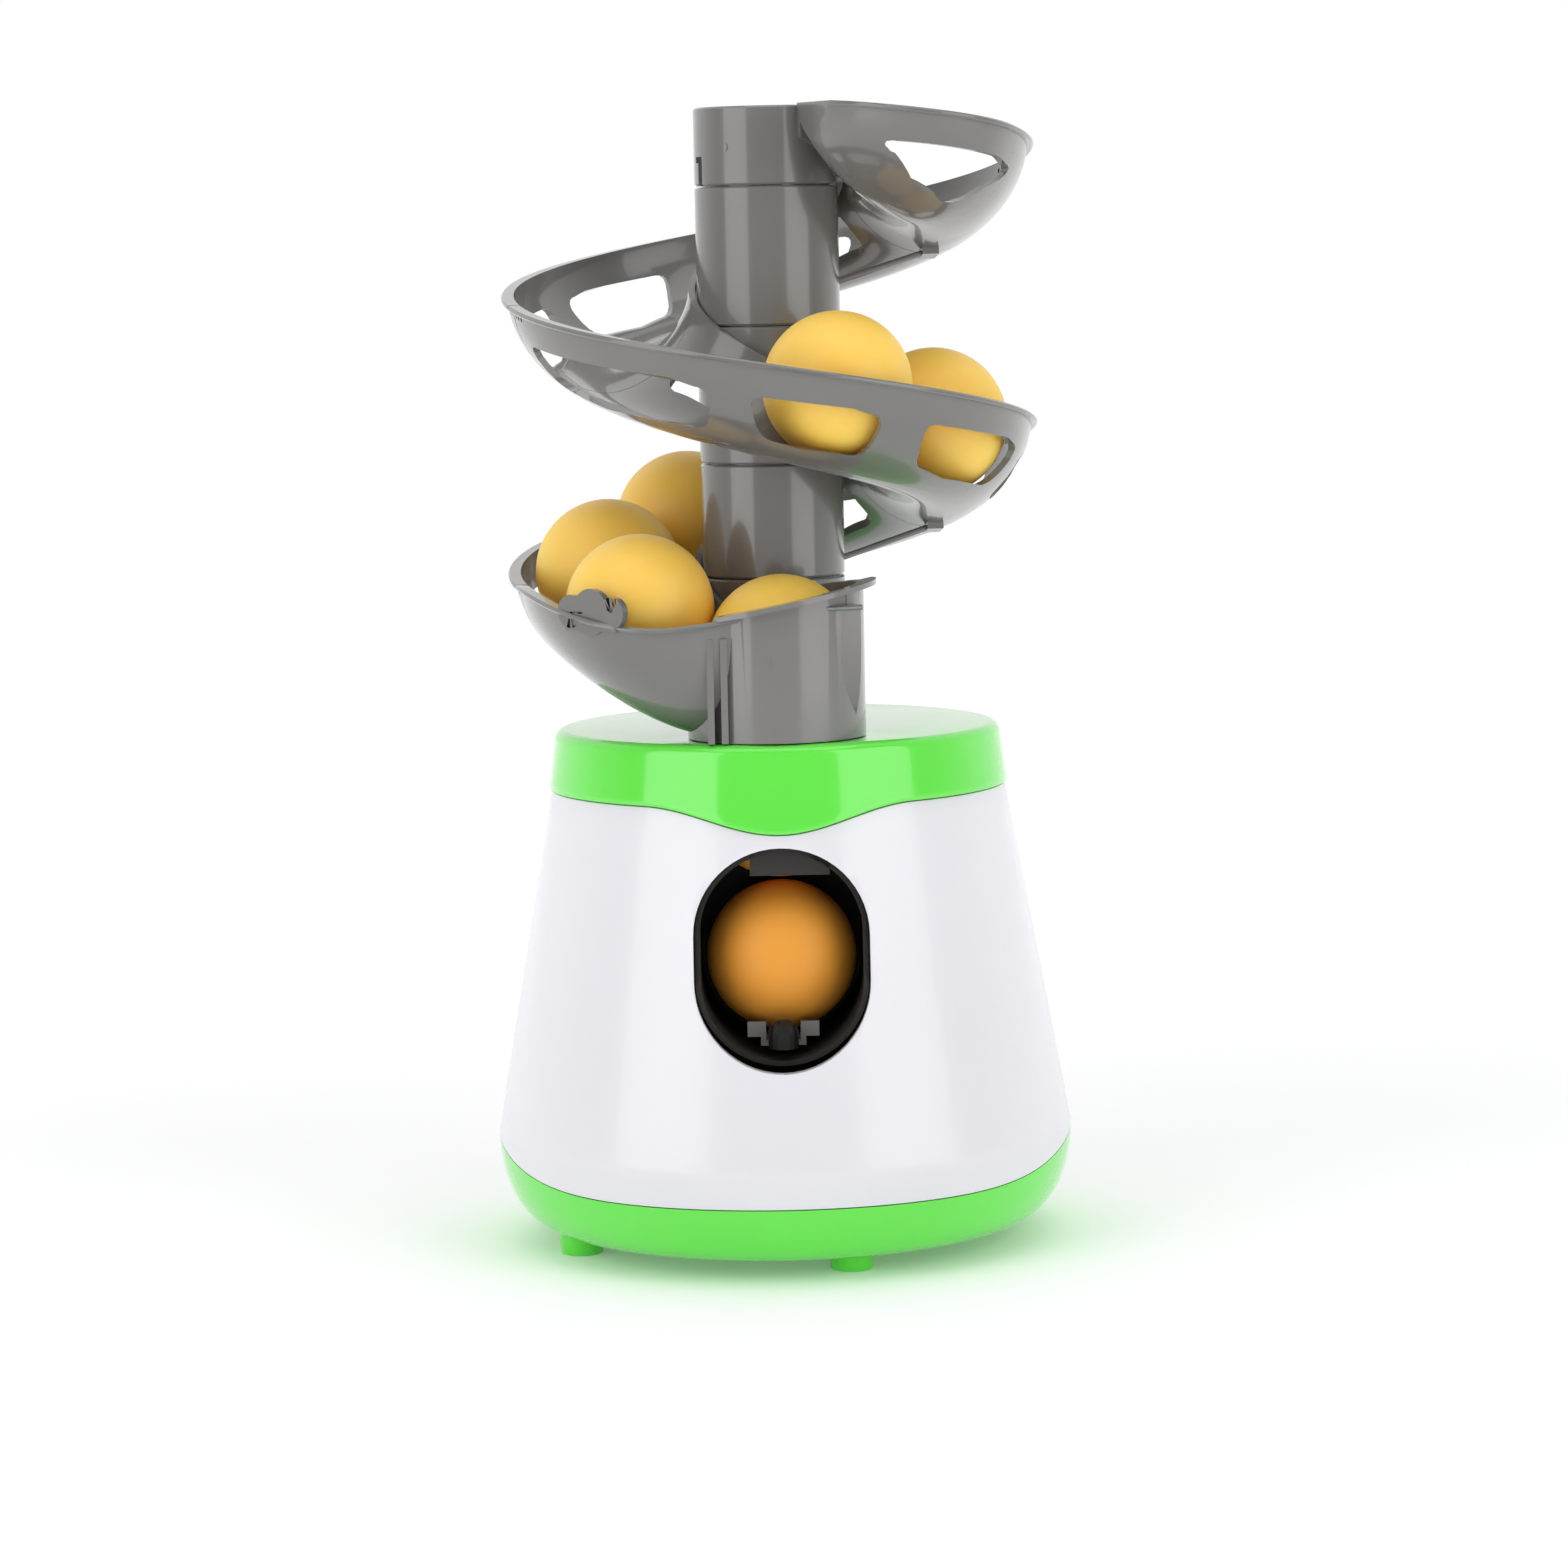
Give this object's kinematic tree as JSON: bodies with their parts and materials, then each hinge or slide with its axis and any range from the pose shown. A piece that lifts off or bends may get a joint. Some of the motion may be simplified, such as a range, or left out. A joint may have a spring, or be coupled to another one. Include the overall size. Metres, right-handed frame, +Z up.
{
  "type": "table tennis ball launcher",
  "caption": "Battery-powered table-tennis ball launcher: cone housing with an oval launch port, spring striker, and a spiral gravity feed track above.",
  "frame": {"origin": "on the ground at the centre of the round housing, level with the undersides of the feet", "axes": "+Z up along the housing's axis, -Y out of the launch port towards the player, +X to the right seen from the front"},
  "size_m": [0.1578, 0.1578, 0.3097],
  "materials": {
    "green_shell": "gloss moulded ABS",
    "white_shell": "gloss moulded ABS",
    "grey_track": "semi-gloss moulded ABS",
    "grey_inner": "satin moulded ABS",
    "ball_orange": "matt celluloid-like plastic",
    "black_plastic": "satin black plastic",
    "black_rubber": "soft rubber",
    "gear_white": "natural acetal",
    "steel": "plated steel",
    "cell_wrap": "plain printed film"
  },
  "bodies": {
    "machine": {"base_tray": "green_shell", "cone_housing": "white_shell", "top_cap": "green_shell", "feed_cup": "grey_track", "track_lower": "grey_track", "track_middle": "grey_track", "track_upper": "grey_track", "tower_top": "grey_track", "chassis": "grey_inner", "launch_sleeve": "grey_inner", "drive_axle": "steel", "idler_axle": "steel", "motor": "steel", "battery_door": "green_shell", "battery_1": "cell_wrap", "battery_2": "cell_wrap", "battery_3": "cell_wrap", "battery_4": "cell_wrap", "contact_plate_front": "steel", "contact_plate_rear": "steel", "switch_housing": "black_plastic", "striker_spring": "steel", "ball_in_port": "ball_orange", "ball_in_chute": "ball_orange", "ball_cup_right": "ball_orange", "ball_cup_front": "ball_orange", "ball_cup_left": "ball_orange", "ball_cup_rear": "ball_orange", "ball_track_front": "ball_orange", "ball_track_right": "ball_orange"},
    "striker": {"striker_rod": "black_plastic", "striker_tip": "black_rubber"},
    "drive_wheel": {"drive_gear": "gear_white"},
    "idler_wheel": {"idler_gear": "gear_white"},
    "pinion": {"motor_pinion": "gear_white"},
    "cradle": {"ball_cradle": "grey_inner", "cradle_knob": "black_plastic"},
    "switch": {"switch_slider": "black_plastic"}
  },
  "joints": [
    {"name": "drive_spin", "type": "hinge", "parent": "machine", "child": "drive_wheel", "pos_m": [0, 0.008, 0.062], "axis": [1, 0, 0], "continuous": true},
    {"name": "idler_spin", "type": "hinge", "parent": "machine", "child": "idler_wheel", "pos_m": [0, 0.0272, 0.0552], "axis": [1, 0, 0], "continuous": true},
    {"name": "pinion_spin", "type": "hinge", "parent": "machine", "child": "pinion", "pos_m": [0, 0.0446, 0.047], "axis": [1, 0, 0], "continuous": true},
    {"name": "striker_pull", "type": "slide", "parent": "machine", "child": "striker", "axis": [0, 1, 0], "range_m": [0, 0.0125], "stiffness_N_per_m": 150, "springref_m": -0.004, "deforming": ["striker_spring"]},
    {"name": "cradle_tilt", "type": "hinge", "parent": "machine", "child": "cradle", "pos_m": [0, -0.024, 0.0616], "axis": [1, 0, 0], "range_deg": [0, 2.5]},
    {"name": "switch_slide", "type": "slide", "parent": "machine", "child": "switch", "axis": [1, 0, 0], "range_m": [0, 0.005]}
  ],
  "couplings": [
    {"joint": "idler_spin", "follows": "drive_spin", "ratio": -3},
    {"joint": "pinion_spin", "follows": "drive_spin", "ratio": 11.25}
  ]
}
